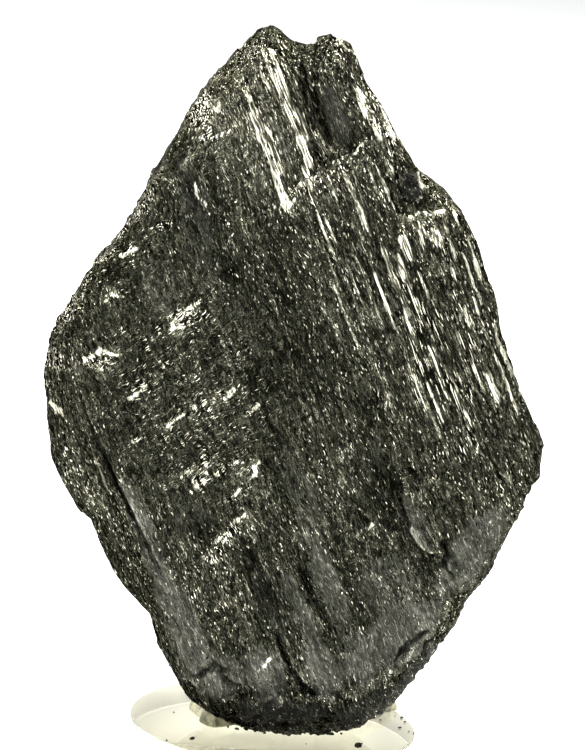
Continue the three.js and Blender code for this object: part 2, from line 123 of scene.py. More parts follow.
# Painted highlights of the front, as bright streaks: x, upper and lower end in z, half width, and
# brightness.
HIGHLIGHT_STREAKS = [
    (7.5, 37, 26.6, 0.95, 1.2), (7.5, 39.5, 35, 0.45, 0.8), (7, 29, 22, 0.55, 1.1),
    (6.4, 39, 31, 0.3, 0.6), (10.4, 43, 37, 0.35, 0.7), (11.5, 44, 36, 0.35, 0.8),
    (12.3, 44, 33, 0.45, 1), (12.6, 35, 29.5, 0.6, 1.2), (11.7, 32, 26, 0.5, 1.1),
    (10.9, 28, 23, 0.45, 1), (13.8, 42, 30, 0.2, 0.5), (11.6, 37, 31, 0.3, 0.8),
    (20.8, 35, 29.5, 0.5, 0.9), (21.3, 31, 26, 0.35, 0.9), (22.7, 34, 25, 0.35, 0.8),
    (20.4, 30, 25, 0.2, 0.5), (13.2, 25, 20, 0.35, 0.8), (10.4, 22, 14, 0.3, 0.8),
    (11.2, 21, 15, 0.3, 0.8), (12.2, 20, 13, 0.2, 0.5), (15.6, 25, 15.6, 0.5, 1.1),
    (14.7, 23, 18, 0.2, 0.5), (18.6, 25, 19, 0.3, 0.7), (19.8, 25, 17, 0.35, 0.9),
    (21.2, 25, 21, 0.3, 0.8), (10.6, 14, 5, 0.25, 0.6), (10.2, 4, -13, 0.25, 0.6),
    (14.4, 12, 2, 0.3, 0.9), (14.2, 1, -11, 0.3, 0.7), (13.7, -4, -10, 0.25, 0.6),
    (15.1, 10, 4, 0.2, 0.5), (16.6, 14.4, 3, 0.6, 1), (16.3, 5, 1, 0.4, 0.8), (18, 13, 3, 0.45, 1),
    (17.5, 5, 1, 0.3, 0.8), (19.3, 14.8, 10, 0.6, 1.2), (19.7, 10, 4, 0.3, 0.9),
    (18.9, 4, -3, 0.3, 0.7), (18.8, -3, -14, 0.5, 1), (15.7, 0, -12, 0.35, 0.9),
    (17.6, 0, -9, 0.4, 0.9), (16.6, -2, -13, 0.25, 0.6), (21.7, 14.6, 11, 0.4, 1),
    (20.9, 13, 9, 0.25, 0.7), (23.4, 14, 10, 0.5, 1), (23.9, 9.6, 6, 0.45, 1.1),
    (23.6, 3.4, -1, 0.5, 1), (23.1, 0, -4, 0.45, 1), (22.2, -4, -10, 0.5, 0.9),
    (23.5, -6, -12, 0.45, 1), (21.8, 1, -3, 0.3, 0.7), (25, 14, 8, 0.3, 0.9),
    (25.2, 4, -14, 0.3, 0.9), (26.2, 10, 1, 0.4, 1), (26.4, 0, -12, 0.35, 0.8),
    (27.2, 12, 4, 0.3, 0.8), (24.2, 22, 18, 0.45, 1), (26.6, 20, 12, 0.3, 0.8),
    (9, 12.6, 1, 0.25, 0.7), (7.4, 9, 4, 0.2, 0.4), (8.6, 1, -5, 0.2, 0.5), (12, 7, -4, 0.25, 0.5),
    (12.6, -5, -12, 0.25, 0.5), (0.8, 15, 7, 0.2, 0.5), (8.7, -10.5, -14, 0.3, 0.5),
    (9.6, 19, 8, 0.25, 0.6), (11.6, 14, 6, 0.25, 0.6), (12.9, 15, 3, 0.3, 0.7),
    (13.4, 3, -8, 0.25, 0.6), (11, -2, -12, 0.25, 0.5), (14.8, -3, -14, 0.3, 0.7),
    (20.4, 7, -2, 0.25, 0.6), (12.2, -14, -21, 0.3, 0.4), (10.1, -8, -14, 0.25, 0.5),
    (-0.4, -12, -20, 0.25, 0.4), (0.2, -5, -12, 0.2, 0.4), (-30.6, 10, 7, 0.4, 0.8),
    (-31, 2, -8, 0.25, 0.45), (-28.4, 6, -6, 0.3, 0.7), (-29.4, -2, -12, 0.25, 0.45),
    (-7.3, 11, 5, 0.2, 0.5),
]

# Painted highlights along the brinks of the front: a line of (x, z) points, its half width, and
# brightness.
HIGHLIGHT_BRINKS = [
    ([(13.6, 25.6), (16, 26.2), (19.5, 27.4)], 0.28, 1),
    ([(14.4, 24.9), (16.6, 25.5), (19, 26.5)], 0.22, 0.8),
    ([(5.4, 23.6), (6.8, 22.8), (8.6, 23.2)], 0.45, 0.9),
    ([(10, 24), (12, 24.6), (13.6, 25.6)], 0.26, 0.8),
    ([(-19.4, -6.4), (-17.4, -5.4), (-15, -5.4)], 0.26, 1),
    ([(-18.4, -7.8), (-17, -6.5), (-15.6, -6.3)], 0.32, 1.2),
    ([(-17.4, -7.6), (-16.2, -7.5)], 0.8, 1.2),
    ([(-14.4, -7), (-12.8, -6.5), (-11.2, -6.2)], 0.32, 1),
    ([(-14.6, -5.6), (-13.2, -5.3)], 0.26, 0.9),
    ([(-10.2, -9.2), (-9.3, -8), (-8.2, -6.9)], 0.55, 1.2),
    ([(-14.2, -10.6), (-12.8, -10.2), (-11.6, -9.2)], 0.26, 0.9),
    ([(-18, -15.5), (-16.2, -15.1)], 0.5, 1.2),
    ([(-15.6, -14.6), (-14.2, -13.8), (-12.6, -13.2)], 0.32, 1),
    ([(-20, -17.6), (-18, -16.6)], 0.26, 0.9),
    ([(-20, 1), (-17, 1.6), (-14, 2.4), (-11, 2.6)], 0.22, 0.9),
    ([(-9.6, 2.2), (-7.9, 2.9)], 0.4, 1.2),
    ([(-21.4, 6.4), (-19.4, 7.2), (-17.2, 8.2)], 0.26, 1.1),
    ([(-20.6, 7.6), (-18.6, 8.5)], 0.22, 1), ([(-23.4, 0.6), (-21.6, 1.3)], 0.22, 0.9),
    ([(-16.6, -0.8), (-14.4, 0.3), (-12.6, 0.6)], 0.22, 0.8),
    ([(-5.4, 4.6), (-3, 5.2), (-0.6, 6)], 0.22, 0.8), ([(-6.9, -1), (-5.9, -0.5)], 0.4, 1.1),
    ([(-3, 30), (-3.4, 28.6), (-2.8, 27)], 0.32, 0.9), ([(1.4, -20.8), (2.3, -20.5)], 0.32, 1.2),
    ([(-17.9, -33.7), (-16.9, -33.1)], 0.32, 1.2),
    ([(-24.8, 13.4), (-22.4, 13.8), (-20.8, 12.6)], 0.4, 1),
    ([(-12.4, 14), (-10.6, 14.6), (-8.4, 15.4)], 0.5, 1.1),
    ([(-12.6, 13.2), (-10.4, 13)], 0.55, 1),
    ([(-19.4, 19.4), (-18.2, 20.2), (-17.2, 19.6)], 0.26, 1),
    ([(-15, 24.2), (-13.2, 24.6)], 0.55, 1.1), ([(0.5, 40), (2.4, 39.2), (3.2, 37.8)], 0.6, 0.8),
    ([(-0.5, 35.4), (1.6, 34.8), (4, 34.9)], 0.22, 1), ([(-1.4, 36.6), (0.8, 36.3)], 0.22, 0.9),
    ([(-30.8, 9.8), (-30.2, 7.6)], 0.5, 1.2), ([(20.6, 41.6), (22, 38.6), (22.7, 34)], 0.26, 0.8),
    ([(21.6, 14.8), (22.4, 13), (23.2, 11)], 0.4, 1),
    ([(20.4, 15.9), (22.6, 15.9), (25.4, 15)], 0.4, 1), ([(22, 17.6), (23.6, 18.4)], 0.3, 0.9),
]

# Patches of the front, as ellipses: (x, z), half sizes across and along the grain, turn in
# degrees, and strength. CRUMBLE is broken and sooty. CROSS has its flakes across the grain,
# FIBROUS has long ones along it.
# Worn smooth, and painted lighter there as a sheen.
SMOOTH_AND_SHEEN = [
    ((-1.5, -36.5), (10, 3.8), 16, 1), ((13.5, -28.6), (8.5, 3.6), 35, 0.9),
    ((-11.3, -37), (2.6, 4.6), 0, 1), ((-18, -35), (3.2, 4.6), 0, 0.9),
    ((-26.2, -25), (2.8, 12), 0, 0.8), ((-23.4, -33), (3.4, 4), 0, 0.7),
    ((7.8, -22.5), (1.8, 5), 0, 0.6), ((-6, -27), (2.2, 9), 0, 0.6),
    ((-10.8, -28), (1.8, 7), 0, 0.6), ((17.2, 32), (1.8, 5.5), 0, 0.6),
    ((-3.4, 29), (1.6, 8), 0, 0.5), ((-26, -10), (1.8, 8), 0, 0.6),
    ((6.6, -12.5), (1.4, 4), 0, 0.4), ((-19.5, -11.5), (3.4, 2.4), 0, 0.4),
    ((-5, -14), (2.4, 12), 0, 0.4), ((-14.4, -26), (1.4, 8), 0, 0.4),
    ((-12.5, 19), (3, 5), 0, 0.35), ((-5.5, 24), (2.4, 9), 0, 0.4), ((1, -29), (6, 5), 10, 0.5),
    ((-3, 7.4), (3, 1.6), 0, 0.3), ((9.4, 31), (1.2, 5), 0, 0.4),
]
# More clean flakes, painted bright as glints, or fewer where the strength is negative.
FLAKE_AND_GLINT_PATCHES = [
    ((10, 42), (5, 3.4), 0, 0.3), ((1.4, 38.4), (3, 2.2), 40, 0.9), ((1.6, 35.4), (3, 1), 10, 0.4),
    ((-10.5, 29.6), (4, 1.5), 33, 1.1), ((-16.5, 26.2), (3, 1.2), 38, 0.8),
    ((-28.6, 15), (1.6, 3), 20, 0.7), ((3.6, 30), (2.6, 8), 0, -0.25),
    ((-3.4, 29), (1.8, 8), 0, -0.3), ((21.6, 29), (2.4, 8), 0, 0.5),
    ((19.4, 38.6), (2.4, 3), 0, 0.5), ((12, 23.4), (9, 3.4), 5, 0.3),
    ((-8.6, 26.5), (1.6, 1), 0, 0.8), ((-14, 24.5), (1.8, 0.8), 0, 1),
    ((-12.2, 24), (0.5, 0.4), 0, 1), ((-18, 20.3), (1.6, 1.4), 0, 0.5),
    ((-24, 20.6), (2.8, 1.6), 38, 1), ((-18.4, 15.3), (1.4, 0.6), 0, 0.8),
    ((-15.6, 13.4), (1.6, 0.6), 0, 0.6), ((-10.4, 14.2), (3, 1.2), 0, 1),
    ((-25.5, 13.6), (2.6, 1.3), 0, 0.5), ((-22.8, 12.4), (2.2, 1.8), 0, 0.7),
    ((-19.6, 8), (3, 1.1), 18, 0.7), ((-12.6, 6.8), (1, 0.9), 0, 0.7),
    ((-8.6, 2.5), (1.5, 0.5), 18, 0.8), ((-2, 5.2), (1.6, 0.5), 10, 0.6),
    ((-15, 1.4), (5, 0.8), 8, 0.6), ((-7, -0.7), (1.4, 0.7), 0, 0.7),
    ((-24, 0.8), (2, 0.6), 0, 0.6), ((-14.8, -3.6), (1.2, 0.5), 0, 0.8),
    ((-2.6, 17.5), (0.8, 0.45), 0, 1), ((-2.4, 2.4), (1, 0.5), 0, 0.5),
    ((-15, 9.8), (0.7, 0.35), 0, 0.9), ((-16.5, -7), (1.2, 0.8), 10, 1.1),
    ((-16.5, -5.4), (3.4, 0.9), 8, 0.6), ((-12.5, -6.6), (2.6, 0.8), 25, 0.8),
    ((-9, -7.9), (1.1, 0.8), 40, 1.1), ((-12.8, -10.6), (2.2, 0.8), 25, 0.8),
    ((-15.4, -15), (2.4, 0.8), 22, 0.9), ((-18, -17.5), (3, 1.6), 25, 0.5),
    ((-9.2, -11.6), (0.5, 1.4), 0, 0.6), ((-23.2, -21.2), (0.8, 0.4), 0, 0.8),
    ((-17.3, -33.4), (0.9, 0.3), 20, 1.1), ((-12, -21.4), (2, 0.8), 0, 0.4),
    ((-6, -36.6), (2, 0.8), 20, 0.4), ((18, -2), (3.4, 16), 0, 0.35), ((24, 2), (3, 15), 0, 0.35),
    ((15.5, -15), (4, 2), 0, 0.5), ((0.5, -21.6), (1, 0.4), 15, 0.9),
    ((21, -21), (1.6, 1), 0, 0.5), ((-31, -2), (1.4, 9), 0, 0.4),
    ((5.8, -37.2), (0.9, 0.3), 30, 0.9), ((4, -24), (2, 2), 0, 0.3), ((3, 4), (6, 16), 0, -0.15),
    ((-3, 0), (3.5, 9), 0, -0.25), ((-10, 8), (4, 4), 0, -0.2), ((6.5, -10), (2, 9), 0, -0.3),
    ((-10, -33), (18, 8), 0, -0.4), ((-13, -24), (5, 7), 0, -0.3), ((2, -25), (9, 7), 0, -0.3),
    ((-5, 24), (4, 8), 0, -0.2), ((9, -22), (8, 10), 0, -0.3), ((-20, -12), (3, 2.5), 0, -0.3),
]
CRUMBLE = [
    ((-18, -40.2), (9, 3), -22, 1), ((-6, -43.5), (8, 2.8), 10, 1), ((2, -40), (6, 1.8), 28, 0.8),
    ((22.8, 19.6), (2.4, 3.6), 0, 0.9), ((10.3, -29), (1.6, 2.6), 0, 0.7),
    ((16.4, 42), (1.2, 1.2), 0, 0.5), ((19, 41), (1.6, 1.2), 0, 0.3),
    ((-29.5, -14), (2, 4), 0, 0.5), ((-28, -1), (1.4, 8), 0, 0.4),
]
CROSS = [((-13, 4), (15, 18), 0, 1), ((0, 34), (5, 4), 20, 0.8), ((-14, 24), (7, 4), 25, 0.8)]
FIBROUS = [((18, 0), (9, 22), 0, 1), ((12, 33), (8, 13), 0, 1), ((-11.5, -30), (3, 12), 0, 0.7)]
# Lighter, or darker where the strength is negative; the darker patches in grooves and along cracks
# are painted shade.
TONE_AND_SHADE = [
    ((7, 35), (11, 12), 0, 0.13), ((3.6, 32), (3.4, 8), 0, 0.11), ((-3.4, 29), (1.6, 8), 0, -0.1),
    ((-1, -37.5), (11, 3.4), 14, 0.05), ((10, -31), (8, 2.6), 38, 0.02),
    ((-6.4, -8), (2.4, 12), 0, -0.1), ((6.5, -9), (1.8, 9), 0, -0.08),
    ((-14.4, -23), (1.5, 9), 0, -0.14), ((-9.6, -14.5), (1.2, 4.4), 0, -0.12),
    ((-8.9, -22), (1.2, 8), 0, -0.1), ((5, -17), (1.4, 6), 0, -0.1),
    ((-6, -28), (1.8, 9), 0, 0.03), ((-11.3, -37.5), (2.2, 4), 0, 0.08),
    ((-22.5, 12.6), (2.8, 2.6), 0, 0.1), ((-11, 14.2), (3.2, 1.8), 10, 0.08),
    ((-18.4, 20), (1.8, 1.4), 0, 0.07), ((-13, 18), (2, 3), 0, 0.03),
    ((-25.8, -8), (1.4, 7), 0, 0.04), ((-18, -35), (3, 4), 0, 0.03),
    ((-12, -23), (1.2, 5), 0, 0.03), ((-6.6, 26), (2, 8), 0, -0.08),
    ((-3, 21), (3.6, 6), 0, -0.06), ((15.2, 35), (0.8, 8), 0, -0.08),
    ((19.2, 40.4), (1.6, 1.6), 0, -0.06), ((17.4, 32), (2, 6), 0, -0.12),
    ((20.4, -1), (0.7, 13), 0, -0.1), ((-12.4, 16), (2.4, 10), 0, 0.03),
    ((-19.4, -12), (3.4, 2.2), 0, -0.06), ((-3, 3), (3, 5), 0, -0.05),
    ((2.5, 8), (3, 14), 0, -0.05), ((7.4, -17), (1.4, 6), 0, -0.05),
    ((22.8, 19.6), (2.2, 3), 0, -0.08), ((-17.5, -40.4), (8.5, 2.4), -22, -0.1),
    ((-25, -12), (2.4, 9), 0, 0.03),
]


# ------------------------ repeatable irregularity

def lattice(cells, seed):
    """A repeatable value from 0 to 1 for each whole-numbered cell."""
    x, y, z = cells.T
    mixed = x * 73856093 ^ y * 19349663 ^ z * 83492791 ^ seed * 9176263
    for multiplier in (0x45D9F3B, 0x2C1B3C6D):
        mixed &= 0xFFFFFFFF
        mixed = (mixed ^ mixed >> 16) * multiplier
    mixed &= 0xFFFFFFFF
    return (mixed ^ mixed >> 16) / 2.0**32


def smooth_noise(points, seed):
    """Noise from -1 to 1 with features about one unit wide."""
    cell = np.floor(points).astype(np.int64)
    inside = points - cell
    inside = inside * inside * (3 - 2 * inside)
    total = np.zeros(len(points))
    for corner in itertools.product((0, 1), repeat=3):
        weight = np.prod(np.where(corner, inside, 1 - inside), axis=1)
        total += weight * lattice(cell + np.array(corner), seed)
    return 2 * total - 1


def layered_noise(points, seed, octaves):
    """Noise with finer and fainter noise on top of it, octave by octave."""
    return sum(smooth_noise(points * 2**n, seed + n) / 2**n for n in range(octaves))


def crests(points, seed):
    """Sharp crests with rounded valleys, from -1 to 1."""
    return 1 - 2.6 * np.abs(smooth_noise(points, seed))


def plates(points, seed):
    """Irregular plates about one unit wide: the place on the plate, and its random vector."""
    cell = np.floor(points).astype(np.int64)
    nearest = np.full(len(points), np.inf)
    offset = np.zeros_like(points)
    character = np.zeros_like(points)
    for step in itertools.product((-1, 0, 1), repeat=3):
        neighbour = cell + np.array(step)
        random = np.stack([lattice(neighbour, seed + axis) for axis in range(3)], axis=1)
        away = points - neighbour - random
        distance = (away**2).sum(axis=1)
        closer = distance < nearest
        nearest[closer] = distance[closer]
        offset[closer] = away[closer]
        character[closer] = random[closer]
    return offset, 2 * character - 1


def tilted_plates(points, size, seed, tilt, step):
    """Plates that each lean their own way by up to `tilt` and stand out by up to `step`."""
    offset, character = plates(points / size, seed)
    return tilt * (offset * character).sum(axis=1) + step * character[:, 0]


def ease(value, start, end):
    """0 before `start`, 1 after `end`, smooth between."""
    t = np.clip((value - start) / (end - start), 0, 1)
    return t * t * (3 - 2 * t)


# ------------------------ mesh helpers

def read_points(mesh):
    points = np.empty(len(mesh.vertices) * 3)
    mesh.vertices.foreach_get("co", points)
    return points.reshape(-1, 3) / MM


def write_points(mesh, points):
    mesh.vertices.foreach_set("co", (points * MM).ravel())
    mesh.update()


def read_normals(mesh):
    normals = np.empty(len(mesh.vertices) * 3)
    mesh.vertex_normals.foreach_get("vector", normals)
    return normals.reshape(-1, 3)


def smoothed(mesh, values, rounds):
    """Values averaged over neighbouring points, again and again."""
    edges = np.empty(len(mesh.edges) * 2, dtype=np.int32)
    mesh.edges.foreach_get("vertices", edges)
    first, second = edges.reshape(-1, 2).T
    count = len(mesh.vertices)
    neighbours = np.bincount(first, minlength=count) + np.bincount(second, minlength=count)
    for _ in range(rounds):
        total = np.bincount(first, values[second], count)
        total += np.bincount(second, values[first], count)
        values = 0.5 * values + 0.5 * total / neighbours
    return values


def store(mesh, name, values):
    """Keeps one number, or one vector, for each point of the mesh under a name."""
    kind, key = ("FLOAT_VECTOR", "vector") if values.ndim == 2 else ("FLOAT", "value")
    attribute = mesh.attributes.new(name, kind, "POINT")
    attribute.data.foreach_set(key, values.astype(np.float32).ravel())


def mesh_from(form, name):
    """Turns what was built in bmesh into a mesh."""
    mesh = bpy.data.meshes.new(name)
    form.to_mesh(mesh)
    form.free()
    return mesh


def add_object(name, mesh, material):
    piece = bpy.data.objects.new(name, mesh)
    bpy.context.scene.collection.objects.link(piece)
    mesh.materials.clear()
    mesh.materials.append(material)
    return piece


def shade_smooth(mesh):
    mesh.polygons.foreach_set("use_smooth", [True] * len(mesh.polygons))


def apply_modifier(piece, kind, **settings):
    modifier = piece.modifiers.new(kind.title(), kind)
    for name, value in settings.items():
        setattr(modifier, name, value)
    evaluated = piece.evaluated_get(bpy.context.evaluated_depsgraph_get())
    shaped = bpy.data.meshes.new_from_object(evaluated)
    piece.modifiers.clear()
    piece.data = shaped


# ------------------------ material helpers

def new_material(name):
    material = bpy.data.materials.new(name)
    material.use_nodes = True
    tree = material.node_tree
    return material, tree, tree.nodes["Principled BSDF"]


def add_node(tree, kind, inputs=None, **settings):
    """Adds a node; each input is a value, or another node's output to be joined to."""
    node = tree.nodes.new("ShaderNode" + kind)
    for name, value in settings.items():
        setattr(node, name, value)
    set_inputs(tree, node, inputs or {})
    return node


def set_inputs(tree, node, inputs):
    for name, value in inputs.items():
        if isinstance(value, bpy.types.NodeSocket):
            tree.links.new(value, node.inputs[name])
        else:
            node.inputs[name].default_value = value


def calculate(tree, operation, *values):
    return add_node(tree, "Math", dict(enumerate(values)), operation=operation).outputs[0]


def combine(tree, operation, *vectors):
    return add_node(tree, "VectorMath", dict(enumerate(vectors)), operation=operation).outputs[0]


def stored(tree, name, output="Fac"):
    """What the mesh keeps under a name."""
    return add_node(tree, "Attribute", attribute_name=name).outputs[output]


def remap(tree, value, low, high, to_low=0.0, to_high=1.0):
    """`to_low` up to `low`, `to_high` from `high` on, smooth between."""
    inputs = {
        "Value": value, "From Min": low, "From Max": high, "To Min": to_low, "To Max": to_high}
    return add_node(tree, "MapRange", inputs, interpolation_type="SMOOTHSTEP").outputs["Result"]


def blend_colours(tree, amount, first, second):
    node = add_node(tree, "Mix", {"Factor": amount}, data_type="RGBA")
    set_inputs(tree, node, {6: first, 7: second})
    return node.outputs[2]


def noise(tree, vector, scale, detail=2.0, roughness=0.5):
    inputs = {"Vector": vector, "Scale": scale, "Detail": detail, "Roughness": roughness}
    return add_node(tree, "TexNoise", inputs).outputs["Fac"]


def stretched(tree, vector, scale):
    return combine(tree, "MULTIPLY", vector, scale)


def mottle(tree, vector, scale, detail, roughness=0.5):
    """Stretched noise from -0.5 to 0.5; the scale is features to a unit."""
    return centred(tree, noise(tree, stretched(tree, vector, scale), 1.0, detail, roughness))


def sinking(tree, mask, lowest):
    """1 where the mask is 0, down to `lowest` where it is 1."""
    return remap(tree, mask, 0.0, 1.0, 1.0, lowest)


def colour_ramp(tree, value, stops):
    node = add_node(tree, "ValToRGB", {"Fac": value})
    ramp = node.color_ramp
    while len(ramp.elements) < len(stops):
        ramp.elements.new(0.5)
    for element, (position, colour) in zip(ramp.elements, stops):
        element.position = position
        element.color = (*colour, 1.0)
    return node.outputs["Color"]


def weighted_sum(tree, terms):
    """The sum of value times weight, over (value, weight) pairs."""
    total = None
    for value, weight in terms:
        product = calculate(tree, "MULTIPLY", value, weight)
        total = product if total is None else calculate(tree, "ADD", total, product)
    return total


def bent(tree, vector, scale, amount):
    """The coordinates shifted about by smooth noise, by about `amount` mm."""
    wave = add_node(tree, "TexNoise", {"Vector": stretched(tree, vector, scale), "Scale": 1.0})
    shift = combine(tree, "SUBTRACT", wave.outputs["Color"], (0.5, 0.5, 0.5))
    shift = add_node(tree, "VectorMath", {0: shift, "Scale": amount}, operation="SCALE").outputs[0]
    return combine(tree, "ADD", vector, shift)


def blend_values(tree, amount, first, second):
    return add_node(tree, "Mix", {"Factor": amount, 2: first, 3: second}).outputs[0]


def centred(tree, value):
    return calculate(tree, "SUBTRACT", value, 0.5)


# ------------------------ graphite: relief

def line_reach(x, z, line):
    """Distance from a line of points, the way along it from 0 to 1, and how far right of it."""
    nearest = np.full(len(x), np.inf)
    way = np.zeros(len(x))
    to_right = np.zeros(len(x))
    lengths = [math.dist(a, b) for a, b in itertools.pairwise(line)]
    passed = 0.0
    for (start, end), length in zip(itertools.pairwise(line), lengths):
        run_x = (end[0] - start[0]) / length
        run_z = (end[1] - start[1]) / length
        from_x = x - start[0]
        from_z = z - start[1]
        along = np.clip(from_x * run_x + from_z * run_z, 0, length)
        distance = np.hypot(from_x - along * run_x, from_z - along * run_z)
        closer = distance < nearest
        nearest[closer] = distance[closer]
        way[closer] = (passed + along[closer]) / sum(lengths)
        to_right[closer] = (from_x * run_z - from_z * run_x)[closer]
        passed += length
    return nearest, way, to_right


def stroke_height(x, z, line, width, height):
    """A sharp crack or ridge along a line, fading out at its ends."""
    distance, way, _ = line_reach(x, z, line)
    profile = np.clip(1 - distance / width, 0, 1)
    ends = ease(way, 0, 0.15) * (1 - ease(way, 0.85, 1))
    return height * profile * ends


def ledge_height(x, z, line, rise, reach):
    """A step along a line, fading out at its ends."""
    distance, way, to_right = line_reach(x, z, line)
    brink = ease(to_right, -0.25, 0.25)
    ends = ease(way, 0, 0.12) * (1 - ease(way, 0.88, 1))
    return rise * brink * np.exp(-distance / reach) * ends


def soft_patch(x, z, at, size, turn=0.0):
    """1 in the middle of an ellipse, 0 outside it, smooth between."""
    turn = math.radians(turn)
    across = (x - at[0]) * math.cos(turn) + (z - at[1]) * math.sin(turn)
    along = (z - at[1]) * math.cos(turn) - (x - at[0]) * math.sin(turn)
    return 1 - ease(np.hypot(across / size[0], along / size[1]), 0.45, 1.15)


def patches(x, z, listed):
    """The strength of all listed patches together."""
    return sum(strength * soft_patch(x, z, at, size, turn) for at, size, turn, strength in listed)


def highlight_mask(points):
    """How bright the painted highlight streaks and brinks of the front are, with frayed edges and
    ends.
    """
    x, z = on_drawing(points)
    total = np.zeros(len(x))
    for index, (middle, top, bottom, width, brightness) in enumerate(HIGHLIGHT_STREAKS):
        sway = 0.12 * smooth_noise(points * [0, 0, 0.2] + index * 3.7, 45)
        fray = 1 + 0.5 * smooth_noise(points * [0, 0, 0.7] + index * 5.3, 46)
        profile = ease(1 - np.abs(x - middle - sway) / (width * fray + 0.05), 0, 0.6)
        ends = ease(z, bottom - 0.6, bottom + 1.6) * (1 - ease(z, top - 1.6, top + 0.6))
        total = np.maximum(total, brightness * profile * ends)
    x = x + 0.25 * smooth_noise(points / 0.8, 47)
    z = z + 0.25 * smooth_noise(points / 0.8, 48)
    for line, width, brightness in HIGHLIGHT_BRINKS:
        distance, _, _ = line_reach(x, z, line)
        broken = 0.95 + 0.4 * smooth_noise(points / [0.5, 0.5, 0.35], 49)
        total = np.maximum(total, brightness * broken * ease(1 - distance / (width + 0.1), 0, 0.8))
    return total


def on_drawing(points):
    """Where points of the graphite fall on the flat drawing that the lists of marks follow."""
    x, depth, z = points.T
    depth = depth - DRAWING_DEPTH
    return (x + (DRAWING_SLANT[0] - DRAWING_SPREAD * x) * depth,
            z + (DRAWING_SLANT[1] - DRAWING_SPREAD * z) * depth)


def graphite_masks(points, normals):
    """The character of the surface at each point of the graphite."""
    front = ease(-normals[:, 1], -0.15, 0.2)
    elsewhere = 1 - front
    rim = 1 - ease(np.abs(normals[:, 1]), 0.15, 0.6)
    cloud = layered_noise(points / [5, 5, 9], 31, 3)
    broad = layered_noise(points / [9, 9, 14], 34, 2)
    threads = layered_noise(points / [0.9, 0.9, 12], 37, 2)
    x, z = on_drawing(points)
    x += 0.5 * smooth_noise(points / 1.6, 41) + 0.2 * smooth_noise(points / 0.6, 43)
    z += 0.6 * smooth_noise(points / 1.6, 42) + 0.3 * smooth_noise(points / 0.6, 44)
    height = (points @ GRAIN_AXES + GRAIN_ORIGIN)[:, 2] - BASE_TOP

    # Painted highlights: the listed streaks and brinks on the front, and streaks along the threads
    # elsewhere.
    painted_highlights = front * highlight_mask(points)
    wild_highlights = elsewhere * ease(threads, 0.5, 1.0) * ease(broad, -0.1, 0.5)
    # More clean flakes, painted bright as glints: in the listed patches, in clouds elsewhere, and
    # along the rims.
    flakes_and_glints = front * patches(x, z, FLAKE_AND_GLINT_PATCHES) + 0.6 * elsewhere * ease(-cloud, 0.3, 0.8)
    flakes_and_glints = np.clip(flakes_and_glints + 0.4 * rim, -0.45, 1.1)
    foot = 1 - ease(height + 1.5 * cloud, 1.0, 4)
    crumble = front * patches(x, z, CRUMBLE) + foot + 0.1 * rim
    # Worn smooth, and painted lighter there as a sheen: in the listed patches, and in clouds away
    # from the rims.
    satin = front * patches(x, z, SMOOTH_AND_SHEEN) + elsewhere * (1 - rim) * ease(cloud, 0.2, 0.7)
    fibrous = front * patches(x, z, FIBROUS) + elsewhere * ease(broad, -0.2, 0.2)
    cross = front * patches(x, z, CROSS) + elsewhere * ease(broad, 0.1, 0.4)
    return {
        "satin": np.clip(satin, 0, 1),
        "flakes_and_glints": flakes_and_glints,
        "highlight_streak": np.maximum(painted_highlights, 0.8 * wild_highlights),
        "crumble": np.clip(crumble, 0, 1),
        "fibrous": np.clip(fibrous, 0, 1),
        "cross": np.clip(cross, 0, 1),
        # Lighter or darker; the darker patches in grooves and along cracks of the front are painted
        # shade.
        "tone_and_shade": front * patches(x, z, TONE_AND_SHADE) + elsewhere * 0.1 * broad + 0.03 * cloud,
    }


# Fibres in the relief: depth, width across the grain and length along it.
FIBRES = [(0.1, 0.8, 14), (0.14, 1.5, 24), (0.2, 3.3, 34)]
FILL_HEIGHT = 0.9


def graphite_relief(points, normals, masks):
    """How far each point of the graphite stands out, in mm."""
    front = ease(-normals[:, 1], 0.05, 0.5)
    x, z = on_drawing(points)
    x += 0.2 * smooth_noise(points / [1.6, 1.6, 3.5], 51)
    z += 0.4 * smooth_noise(points / [1.5, 1.5, 3], 52)
    drawn = sum(stroke_height(x, z, *stroke) for stroke in FRONT_STROKES)
    drawn = drawn + sum(ledge_height(x, z, *ledge) for ledge in FRONT_LEDGES)
    filled = sum(
        FILL_HEIGHT * soft_patch(points[:, 0], points[:, 2], at, size) for at, size in FILLED)

    crumble = masks["crumble"]
    calm = (1 - 0.7 * masks["satin"]) * (1 - 0.7 * crumble)
    along = 1 - 0.7 * masks["cross"]
    fibres = sum(
        depth * crests(points / [width, width, length], 60 + index)
        for index, (depth, width, length) in enumerate(FIBRES))
    flakes = tilted_plates(points, [2.0, 2.0, 4.0], 71, 0.22, 0.06)
    slabs = tilted_plates(points, [6.5, 6.5, 13], 75, 0.45, 0.2)
    scales = 0.12 * crests(points @ turned(CROSS_ANGLE).T / [2.6, 0.8, 0.8], 77)
    grains = 0.35 * crests(points / 1.3, 81) + 0.25 * smooth_noise(points / 0.7, 82)
    return (front * (drawn + filled) + calm * (along * fibres + masks["cross"] * scales + flakes)
            + 0.5 * slabs + crumble * grains + 0.15 * masks["highlight_streak"]
            + 0.04 * smooth_noise(points / [0.5, 0.5, 1.0], 91))


def turned(angle):
    """The axes of a frame turned about y, so that x rises by this angle."""
    return np.array([
        [math.cos(angle), 0, math.sin(angle)], [0, 1, 0], [-math.sin(angle), 0, math.cos(angle)]])


def edit_mesh(mesh, edit):
    """Runs an edit on the mesh through bmesh."""
    form = bmesh.new()
    form.from_mesh(mesh)
    edit(form)
    form.to_mesh(mesh)
    form.free()


def pair_triangles(form):
    """Joins triangles into four-sided faces."""
    bmesh.ops.remove_doubles(form, verts=form.verts, dist=0.005 * MM)
    bmesh.ops.join_triangles(
        form, faces=form.faces, angle_face_threshold=math.pi, angle_shape_threshold=math.pi)


